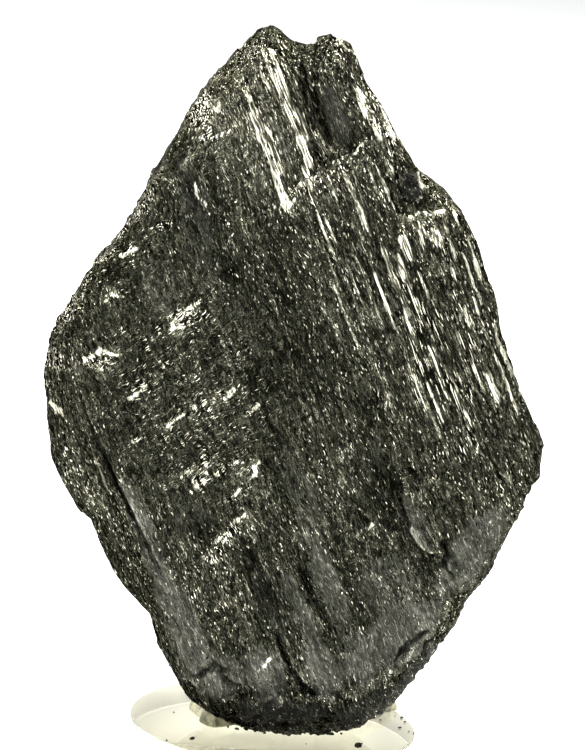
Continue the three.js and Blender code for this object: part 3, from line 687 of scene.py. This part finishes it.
def halve_front(form):
    """Cuts the faces of the front in two along the grain, because its fibres are narrow."""
    def runs_across(edge):
        if max(vert.normal.y for vert in edge.verts) > -0.3:
            return False
        run = GRAIN_AXES @ np.array(edge.verts[1].co - edge.verts[0].co)
        return abs(run[0]) > 1.2 * abs(run[2])

    form.normal_update()
    across = [edge for edge in form.edges if runs_across(edge)]
    bmesh.ops.subdivide_edges(form, edges=across, cuts=1)


def dense_copy(node, levels):
    """A copy of a CAD node's mesh in four-sided faces, rounded and divided."""
    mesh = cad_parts[node].data.copy()
    edit_mesh(mesh, pair_triangles)
    piece = bpy.data.objects.new(node + "_dense", mesh)
    bpy.context.scene.collection.objects.link(piece)
    apply_modifier(piece, "SUBSURF", levels=levels, render_levels=levels)
    dense = piece.data
    bpy.data.objects.remove(piece)
    if "custom_normal" in dense.attributes:
        dense.attributes.remove(dense.attributes["custom_normal"])
    return dense


def make_graphite():
    mesh = dense_copy("graphite", 2)
    edit_mesh(mesh, halve_front)
    shade_smooth(mesh)
    points = (read_points(mesh) - GRAIN_ORIGIN) @ GRAIN_AXES.T
    normals = read_normals(mesh) @ GRAIN_AXES.T
    masks = graphite_masks(points, normals)
    relief = graphite_relief(points, normals, masks)
    points += relief[:, None] * normals
    world = points @ GRAIN_AXES + GRAIN_ORIGIN
    world[:, 2] = np.maximum(world[:, 2], BASE_TOP + 2 * HAIR)
    write_points(mesh, world)

    store(mesh, "grain", points)
    # How far each point stands out of its smoothed surroundings: in the colour it lightens raised
    # points and darkens hollows, as painted cavity shade.
    store(mesh, "proud", relief - smoothed(mesh, relief, 24))
    for name, mask in masks.items():
        store(mesh, name, mask)
    piece = add_object("graphite_specimen", mesh, graphite_material())
    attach(piece, "root")
    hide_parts("graphite")
    return piece


# ------------------------ graphite: material

# Reflectance of the graphite, from hollows darkened as painted cavity shade to clean flakes painted
# bright as glints, and where it is smooth with a painted sheen.
REFLECTANCE = [
    (0.0, (0.002, 0.002, 0.0013)), (0.2, (0.0115, 0.012, 0.0082)),
    (0.4, (0.035, 0.036, 0.025)), (0.6, (0.109, 0.107, 0.078)),
    (0.8, (0.335, 0.327, 0.252)), (1.0, (0.88, 0.86, 0.72)),
]
SHEEN_REFLECTANCE = [
    (0.0, (0.002, 0.002, 0.0016)), (0.2, (0.0117, 0.012, 0.0096)),
    (0.4, (0.0355, 0.036, 0.029)), (0.6, (0.108, 0.108, 0.089)),
    (0.8, (0.33, 0.33, 0.28)), (1.0, (0.87, 0.86, 0.76)),
]


# Flakes by kind: how many there are to a mm along x, y and z, where they lie along the
# fibres and where they lie across them. The bright and large ones are clean flakes painted
# bright as glints.
FLAKES = {
    "bright": {"along": (7.0, 2.5, 1.0), "across": (0.8, 2.0, 6.5)},
    "large": {"along": (4.2, 2.0, 0.5), "across": (0.6, 1.5, 4.2)},
    "soft": {"along": (7.0, 3.0, 1.0), "across": (0.9, 3.0, 7.0)},
    "dark": {"along": (6.0, 3.0, 0.7), "across": (0.7, 3.0, 6.0)},
}
FIBROUS_FLAKES = (6.8, 2.0, 0.4)     # the bright ones where the surface is fibrous
LONG_FLAKES = (5.5, 1.2, 0.12)

# Facets that tilt the surface: how many to a mm along x, y and z, and how far they tilt it.
FACETS = [((0.9, 0.9, 0.3), 0.14), ((2.6, 2.6, 0.7), 0.16), ((5.5, 2.5, 1.2), 0.26)]


def facet_colours(tree, fibre, scale):
    """Small facets: each one's random colour."""
    vector = stretched(tree, fibre, scale)
    return add_node(tree, "TexVoronoi", {"Vector": vector, "Scale": 1.0}).outputs["Color"]


def flakes(tree, vector, scale, plenty):
    """Separate flakes in dark hollows, the longer the smaller the scale, of random brightness."""
    cell = add_node(tree, "TexVoronoi", {"Vector": stretched(tree, vector, scale), "Scale": 1.0})
    chance = add_node(tree, "SeparateColor", {"Color": cell.outputs["Color"]}).outputs[0]
    shape = remap(tree, cell.outputs["Distance"], 0.1, 0.45, 1.25, -0.25)
    light = remap(tree, calculate(tree, "ADD", chance, plenty), 0.7, 1.6)
    return calculate(tree, "MULTIPLY", shape, light)


def wavering(tree, grain, fibrous):
    """Grain coordinates bent about, so that the fibres waver, less where it is fibrous."""
    fibre = bent(tree, grain, (0.5, 0.5, 0.16), remap(tree, fibrous, 0.0, 1.0, 1.6, 0.6))
    return bent(tree, fibre, (1.1, 1.1, 0.9), remap(tree, fibrous, 0.0, 1.0, 0.6, 0.12))


def graphite_mask_nodes(tree, grain):
    """The masks that the mesh keeps, and those that follow from them."""
    names = ("flakes_and_glints", "highlight_streak", "crumble", "fibrous", "cross", "tone_and_shade", "proud")
    mask = {name: stored(tree, name) for name in names}
    ragged = noise(tree, stretched(tree, grain, (1.4, 1.4, 0.8)), 1.0, 4.0, 0.65)
    satin = weighted_sum(tree, [(stored(tree, "satin"), 1.0), (ragged, 0.9)])
    mask["satin"] = remap(tree, satin, 0.5, 1.25)
    # Solid blades of painted highlight where the streaks are brightest.
    mask["blades"] = remap(tree, mask["highlight_streak"], 0.45, 0.9)
    mask["cloud"] = mottle(tree, grain, (0.35, 0.35, 0.14), 4.0, 0.6)
    return mask


def graphite_flakes(tree, grain, fibre, mask):
    """Layers of flakes by kind, along the fibres or, where the cross mask is 1, across them; the
    bright, large and long ones are painted glints.
    """
    across = add_node(tree, "VectorRotate", {
        "Vector": fibre, "Angle": CROSS_ANGLE}, rotation_type="Y_AXIS").outputs[0]
    clump = mottle(tree, grain, (0.55, 0.55, 0.35), 4.0, 0.65)
    plenty = weighted_sum(tree, [
        (clump, 2.4), (mask["flakes_and_glints"], 0.7), (mask["highlight_streak"], 0.1), (mask["crumble"], -0.1),
        (mask["satin"], -0.8), (mask["tone_and_shade"], 0.3), (mask["cloud"], 0.8)])
    plenty = calculate(tree, "SUBTRACT", plenty, 0.1)
    fewer = calculate(tree, "SUBTRACT", calculate(tree, "MULTIPLY", plenty, 1.6), 0.25)
    more = weighted_sum(tree, [(plenty, 1.0), (mask["highlight_streak"], 0.7), (mask["fibrous"], 0.1)])

    layers = {"long": flakes(tree, fibre, LONG_FLAKES, more)}
    for kind, amount in (("bright", plenty), ("large", fewer), ("soft", 0.3), ("dark", 0.15)):
        lengthwise = flakes(tree, fibre, FLAKES[kind]["along"], amount)
        if kind == "bright":
            slender = flakes(tree, fibre, FIBROUS_FLAKES, amount)
            lengthwise = blend_values(tree, mask["fibrous"], lengthwise, slender)
        crosswise = flakes(tree, across, FLAKES[kind]["across"], amount)
        layers[kind] = blend_values(tree, mask["cross"], lengthwise, crosswise)
    return layers


def ground_texture(tree, grain, fibre, mask, layers):
    """Fine light and dark between the bright flakes, calmer where it is worn smooth with a painted
    sheen, and on the blades of painted highlight.
    """
    fine = mottle(tree, grain, (9.0, 9.0, 6.0), 0.0)
    patchy = mottle(tree, fibre, (1.6, 1.6, 0.7), 2.0, 0.6)
    facets = facet_colours(tree, fibre, (6.5, 2.5, 1.4))
    chips = centred(tree, add_node(tree, "SeparateColor", {"Color": facets}).outputs[0])
    texture = weighted_sum(tree, [
        (fine, 0.7), (chips, 0.35), (patchy, 0.15), (layers["soft"], 1.0), (layers["dark"], -2.9)])
    texture = calculate(tree, "MULTIPLY", texture, sinking(tree, mask["satin"], 0.5))
    return calculate(tree, "MULTIPLY", texture, sinking(tree, mask["blades"], 0.2))


def graphite_brightness(tree, grain, fibre, mask, layers):
    """From 0 in hollows darkened as painted cavity shade to 1 on clean flakes painted bright as
    glints, with painted highlights on the streaks and a painted sheen where it is smooth.
    """
    bands = mottle(tree, fibre, (0.9, 0.9, 0.05), 3.0, 0.6)
    beads = noise(tree, stretched(tree, fibre, (3.4, 3.4, 0.4)), 1.0, 1.0)
    beads = remap(tree, beads, 0.3, 0.55)
    brightness = weighted_sum(tree, [
        (ground_texture(tree, grain, fibre, mask, layers), 1.0),
        (mask["cloud"], 0.25), (bands, 0.35), (layers["bright"], 2.6), (layers["large"], 1.3),
        (calculate(tree, "MULTIPLY", layers["long"], mask["fibrous"]), 1.2),
        (calculate(tree, "MULTIPLY", layers["long"], mask["highlight_streak"]), 1.0),
        (calculate(tree, "MULTIPLY", beads, mask["highlight_streak"]), 0.15), (mask["blades"], 0.6),
        (calculate(tree, "MULTIPLY", beads, mask["flakes_and_glints"]), 0.2), (mask["crumble"], -0.13),
        (mask["satin"], 0.2), (mask["proud"], 0.4), (mask["tone_and_shade"], 1.0)])
    return calculate(tree, "ADD", brightness, 0.24)


def tilted(tree, normal, colour, amount):
    """The normal leant over, facet by facet, by up to `amount`."""
    middle = combine(tree, "SUBTRACT", colour, (0.5, 0.5, 0.5))
    lean = add_node(tree, "VectorMath", {0: middle, "Scale": amount}, operation="SCALE").outputs[0]
    return combine(tree, "NORMALIZE", combine(tree, "ADD", normal, lean))


def graphite_normal(tree, fibre, mask, layers):
    """Facets that catch the light one by one, with fibres and flakes in low relief."""
    normal = add_node(tree, "NewGeometry").outputs["Normal"]
    calm = calculate(
        tree, "MULTIPLY", sinking(tree, mask["satin"], 0.5), sinking(tree, mask["blades"], 0.5))
    for scale, tilt in FACETS:
        facets = facet_colours(tree, fibre, scale)
        normal = tilted(tree, normal, facets, calculate(tree, "MULTIPLY", calm, tilt))
    threads = noise(tree, stretched(tree, fibre, (3.0, 3.0, 0.15)), 1.0, 3.0)
    height = weighted_sum(tree, [(threads, 1.0), (layers["bright"], 0.4)])
    bump = add_node(tree, "Bump", {
        "Strength": 0.7, "Distance": 0.12 * MM, "Height": height, "Normal": normal})
    return bump.outputs["Normal"]


def graphite_material():
    """Metallic flakes, painted bright as glints, over a dark mottled ground with painted cavity
    shade, dull and sooty where it crumbles.
    """
    material, tree, shader = new_material("graphite")
    grain = stored(tree, "grain", "Vector")
    mask = graphite_mask_nodes(tree, grain)
    fibre = wavering(tree, grain, mask["fibrous"])
    layers = graphite_flakes(tree, grain, fibre, mask)
    brightness = graphite_brightness(tree, grain, fibre, mask, layers)
    colour = blend_colours(
        tree, mask["satin"], colour_ramp(tree, brightness, REFLECTANCE),
        colour_ramp(tree, brightness, SHEEN_REFLECTANCE))
    roughness = calculate(
        tree, "MAXIMUM", remap(tree, brightness, 0.4, 0.9, 0.48, 0.4),
        remap(tree, mask["crumble"], 0.6, 1.0, 0.0, 0.85))
    set_inputs(tree, shader, {
        "Base Color": colour, "Roughness": roughness,
        "Metallic": remap(tree, mask["crumble"], 0.7, 1.0, 1.0, 0.3),
        "Specular Tint": (0.25, 0.25, 0.25, 1.0),
        "Normal": graphite_normal(tree, fibre, mask, layers),
    })
    return material


# ------------------------ putty

def putty_material():
    material, tree, shader = new_material("putty")
    place = add_node(tree, "TexCoord").outputs["Object"]
    smudge = noise(tree, place, 420.0, 5.0, 0.7)
    colour = blend_colours(
        tree, remap(tree, smudge, 0.4, 0.62), (0.4, 0.38, 0.25, 1.0), (0.1, 0.1, 0.055, 1.0))
    bump = add_node(tree, "Bump", {
        "Strength": 0.5, "Distance": 0.3 * MM, "Height": noise(tree, place, 900.0, 4.0)})
    set_inputs(tree, shader, {
        "Base Color": colour, "Roughness": remap(tree, smudge, 0.3, 0.8, 0.5, 0.75),
        "Subsurface Weight": 0.3, "Subsurface Radius": (1.0, 1.0, 0.7),
        "Subsurface Scale": 1.0 * MM,
        "IOR": 1.48, "Normal": bump.outputs["Normal"],
    })
    return material


PUTTY_LEFT = -8.0                # left of here the putty is drawn in towards the foot,
PUTTY_LEFT_SHARE = 0.75          # to this share of its length
PUTTY_MOUND_FRONT = -9.0         # how far forward the plain mound reaches
PUTTY_FRONT_SHARE = 0.12         # what the drawn-in front keeps of the mound's depth
PUTTY_VOXEL = 0.3

# How far forward the putty reaches under the foot: (x, y) points, from left to right.
PUTTY_FRONT = [
    (-13, 1), (-11.4, -2.4), (-9.6, -4.6), (-7.6, -5.4), (-5, -3.8), (0, -4.4), (4, -3.8),
    (9.5, -1.6), (12.6, 4), (16, 8),
]


def make_putty():
    """The putty with a thumbed, uneven surface, drawn in under the foot."""
    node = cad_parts["mounting_putty"]
    mesh = node.data.copy()
    piece = add_object("putty", mesh, putty_material())
    apply_modifier(piece, "REMESH", mode="VOXEL", voxel_size=PUTTY_VOXEL * MM)
    mesh = piece.data
    shade_smooth(mesh)
    points = read_points(mesh)
    for axis in range(3):
        points[:, axis] = smoothed(mesh, points[:, axis], 4)
    write_points(mesh, points)
    left = points[:, 0] < PUTTY_LEFT
    points[left, 0] = PUTTY_LEFT + PUTTY_LEFT_SHARE * (points[left, 0] - PUTTY_LEFT)
    front = np.interp(points[:, 0], *zip(*PUTTY_FRONT))
    front += PUTTY_FRONT_SHARE * (points[:, 1] - PUTTY_MOUND_FRONT)
    points[:, 1] = np.maximum(points[:, 1], front)
    swell = 0.1 + 0.25 * layered_noise(points / 2.4, 101, 3)
    points += swell[:, None] * read_normals(mesh)
    points[:, 2] = np.maximum(points[:, 2], BASE_TOP + HAIR)
    write_points(mesh, points)
    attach(piece, "root")
    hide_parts("mounting_putty")
    return piece


# ------------------------ acrylic base

SAWN_ROUGHNESS = 0.3             # of the base's side wall and underside
ABSORPTION_DENSITY = 55.0


def acrylic_material():
    """Clear acrylic with a little wear on its polished top."""
    material, tree, shader = new_material("acrylic")
    place = add_node(tree, "TexCoord").outputs["Object"]
    wear = remap(tree, noise(tree, place, 420.0, 4.0, 0.6), 0.45, 0.75, 0.0, 0.06)
    height = add_node(tree, "SeparateXYZ", {0: place}).outputs["Z"]
    sawn = remap(
        tree, height, (BASE_TOP - BASE_EDGE) * MM, BASE_TOP * MM, SAWN_ROUGHNESS, 0.0)
    # The grey of the base colour dims all light through the base, as painted shade for the
    # specimen's shadow on it.
    set_inputs(tree, shader, {
        "Base Color": (0.93, 0.925, 0.91, 1.0), "Transmission Weight": 1.0, "IOR": 1.49,
        "Roughness": calculate(tree, "MAXIMUM", wear, sawn),
    })
    tint = add_node(tree, "VolumeAbsorption", {
        "Color": (0.96, 0.95, 0.84, 1.0), "Density": ABSORPTION_DENSITY})
    tree.links.new(tint.outputs["Volume"], tree.nodes["Material Output"].inputs["Volume"])
    return material


def base_profile():
    """The base's section from the middle of the underside to the middle of the top."""
    steps = 6
    profile = [(0.0, 0.0)]
    for centre_height, start in ((BASE_EDGE, -90), (BASE_TOP - BASE_EDGE, 0)):
        for step in range(steps + 1):
            angle = math.radians(start + 90 * step / steps)
            radius = BASE_RADIUS - BASE_EDGE + BASE_EDGE * math.cos(angle)
            profile.append((radius, centre_height + BASE_EDGE * math.sin(angle)))
    profile.append((0.0, BASE_TOP))
    return profile


def make_base():
    form = bmesh.new()
    section = [
        form.verts.new((radius * MM, 0.0, height * MM)) for radius, height in base_profile()]
    edges = [form.edges.new(pair) for pair in itertools.pairwise(section)]
    bmesh.ops.spin(
        form, geom=section + edges, axis=(0, 0, 1), cent=(0, 0, 0), angle=2 * math.pi,
        steps=BASE_SIDES)
    bmesh.ops.remove_doubles(form, verts=form.verts, dist=0.002 * MM)
    bmesh.ops.recalc_face_normals(form, faces=form.faces)
    mesh = mesh_from(form, "display_base")
    shade_smooth(mesh)
    piece = add_object("display_base", mesh, acrylic_material())
    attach(piece, "root")
    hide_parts("acrylic_base")
    return piece


# ------------------------ crumbs

# Loose crumbs on the base: x, y and size in mm.
CRUMBS = [
    (11.5, -8.4, 0.95), (14.4, 4.2, 0.3), (17.3, 5.9, 0.35), (17.7, 4.2, 0.35), (17.0, 1.3, 0.4),
    (18.2, 0.0, 0.3), (18.9, -0.4, 0.3), (-10.3, -11.0, 0.7), (-13.2, 0.0, 0.25), (16.4, 6.6, 0.2),
    (-5.8, -4.6, 0.4), (-4.6, -5.2, 0.5), (-3.4, -5.0, 0.6), (-2.2, -5.5, 0.45), (-0.9, -5.9, 0.35),
    (0.4, -5.4, 0.55), (1.6, -5.6, 0.4), (3.7, -5.0, 0.6), (5.2, -4.8, 0.45), (6.4, -4.3, 0.5),
    (7.9, -4.1, 0.6), (9.2, -3.4, 0.4), (-13.6, -12.4, 0.3), (4.6, -9.0, 0.2), (-7.4, -4.4, 0.35),
]


def crumb_material():
    """Graphite crumbs black with their own dust."""
    material, tree, shader = new_material("crumb")
    place = add_node(tree, "TexCoord").outputs["Object"]
    dust = remap(tree, noise(tree, place, 2500.0, 3.0), 0.45, 0.65)
    colour = blend_colours(tree, dust, (0.004, 0.004, 0.003, 1.0), (0.035, 0.035, 0.026, 1.0))
    set_inputs(tree, shader, {"Base Color": colour, "Roughness": 0.9, "Specular IOR Level": 0.15})
    return material


def add_crumb(form, random, x, y, size):
    """A flattened, dented lump, turned at random."""
    made = bmesh.ops.create_icosphere(form, subdivisions=2, radius=0.5 * size)["verts"]
    stretch = Vector(
        (random.uniform(0.9, 1.5), random.uniform(0.7, 1.0), random.uniform(0.6, 0.85)))
    turn = Matrix.Rotation(random.uniform(0, math.pi), 3, "Z")
    for vert in made:
        dent = 1 + random.uniform(-0.28, 0.28)
        place = turn @ (vert.co * stretch * dent)
        vert.co = (place + Vector((x, y, BASE_TOP + 0.3 * size))) * MM
        vert.co.z = max(vert.co.z, (BASE_TOP + HAIR) * MM)


def make_crumbs():
    random = np.random.default_rng(5)
    form = bmesh.new()
    for x, y, size in CRUMBS:
        add_crumb(form, random, x, y, size)
    mesh = mesh_from(form, "graphite_crumbs")
    piece = add_object("graphite_crumbs", mesh, crumb_material())
    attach(piece, "root")
    return piece


# ------------------------ floor, light and camera

FLOOR_RADIUS = 4000.0
FLOOR_DROP = 0.02                # the floor lies this far under the base


def make_floor():
    """A plain pale floor."""
    form = bmesh.new()
    bmesh.ops.create_circle(form, cap_ends=True, segments=96, radius=FLOOR_RADIUS * MM)
    mesh = mesh_from(form, "floor")
    material, tree, shader = new_material("floor")
    place = add_node(tree, "TexCoord").outputs["Object"]
    paper = noise(tree, place, 40.0, 3.0)
    colour = blend_colours(tree, paper, (0.86, 0.87, 0.88, 1.0), (0.9, 0.9, 0.9, 1.0))
    set_inputs(tree, shader, {"Base Color": colour, "Roughness": 0.9})
    floor = add_object("floor", mesh, material)
    floor.location.z = -FLOOR_DROP * MM


# Soft boxes: where each stands, its two sides in mm, and its brightness.
SOFT_BOXES = [
    {"name": "key", "at": (-330, -330, 430), "size": (240, 180), "radiance": 30},
    {"name": "fill", "at": (430, -200, 330), "size": (160, 260), "radiance": 20},
    {"name": "top", "at": (40, 120, 560), "size": (380, 280), "radiance": 16},
    {"name": "rim", "at": (-380, 300, 260), "size": (160, 240), "radiance": 14},
    {"name": "rear", "at": (320, 380, 330), "size": (220, 220), "radiance": 18},
]
LIGHT_COLOUR = (1.0, 0.985, 0.95)
SUBJECT = Vector((0.0, 0.0, 55.0))   # what the soft boxes face


def make_lights():
    for box in SOFT_BOXES:
        light = bpy.data.lights.new(box["name"], "AREA")
        light.shape = "RECTANGLE"
        light.size = box["size"][0] * MM
        light.size_y = box["size"][1] * MM
        light.energy = box["radiance"] * math.pi * light.size * light.size_y
        light.color = LIGHT_COLOUR
        lamp = bpy.data.objects.new(box["name"], light)
        lamp.location = Vector(box["at"]) * MM
        lamp.rotation_euler = (SUBJECT - Vector(box["at"])).to_track_quat("-Z", "Y").to_euler()
        bpy.context.scene.collection.objects.link(lamp)
    bpy.context.scene.world = studio_world()


def studio_world():
    """Pale walls round the stage, dimmer overhead."""
    world = bpy.data.worlds.new("studio")
    world.use_nodes = True
    tree = world.node_tree
    direction = add_node(tree, "TexCoord").outputs["Generated"]
    height = add_node(tree, "SeparateXYZ", {0: direction}).outputs["Z"]
    strength = remap(tree, height, 0.1, 0.45, 0.95, 0.7)
    set_inputs(tree, tree.nodes["Background"], {
        "Color": (0.97, 0.985, 1.0, 1.0), "Strength": strength})
    return world


CAMERA_TILT = math.radians(13.0)     # looks down by this much
CAMERA_ROLL = math.radians(4.7)      # leans so that the base's right side sinks
CAMERA_DISTANCE = 600.0
PICTURE_HEIGHT = 99.91               # what the picture takes in at that distance
AIM_RIGHT, AIM_UP = 2.664, 46.09     # the aim, from the middle of the base's top
SENSOR = 36.0


def make_camera():
    """A camera that looks down at the front of the specimen from afar."""
    along = Vector((0.0, math.cos(CAMERA_TILT), -math.sin(CAMERA_TILT)))
    level = Vector((1.0, 0.0, 0.0))
    upright = level.cross(along)
    right = math.cos(CAMERA_ROLL) * level + math.sin(CAMERA_ROLL) * upright
    up = math.cos(CAMERA_ROLL) * upright - math.sin(CAMERA_ROLL) * level
    aim = Vector((0.0, 0.0, BASE_TOP)) + AIM_RIGHT * right + AIM_UP * up

    data = bpy.data.cameras.new("camera")
    data.sensor_fit = "VERTICAL"
    data.sensor_height = SENSOR
    data.lens = SENSOR * CAMERA_DISTANCE / PICTURE_HEIGHT
    data.clip_start, data.clip_end = 0.01, 20.0
    camera = bpy.data.objects.new("camera", data)
    pose = Matrix((right, up, -along)).transposed().to_4x4()
    pose.translation = (aim - CAMERA_DISTANCE * along) * MM
    camera.matrix_world = pose
    bpy.context.scene.collection.objects.link(camera)
    bpy.context.scene.camera = camera


make_camera()
make_lights()
make_floor()
make_graphite()
make_putty()
make_base()
make_crumbs()
bpy.context.scene.view_settings.view_transform = "Standard"
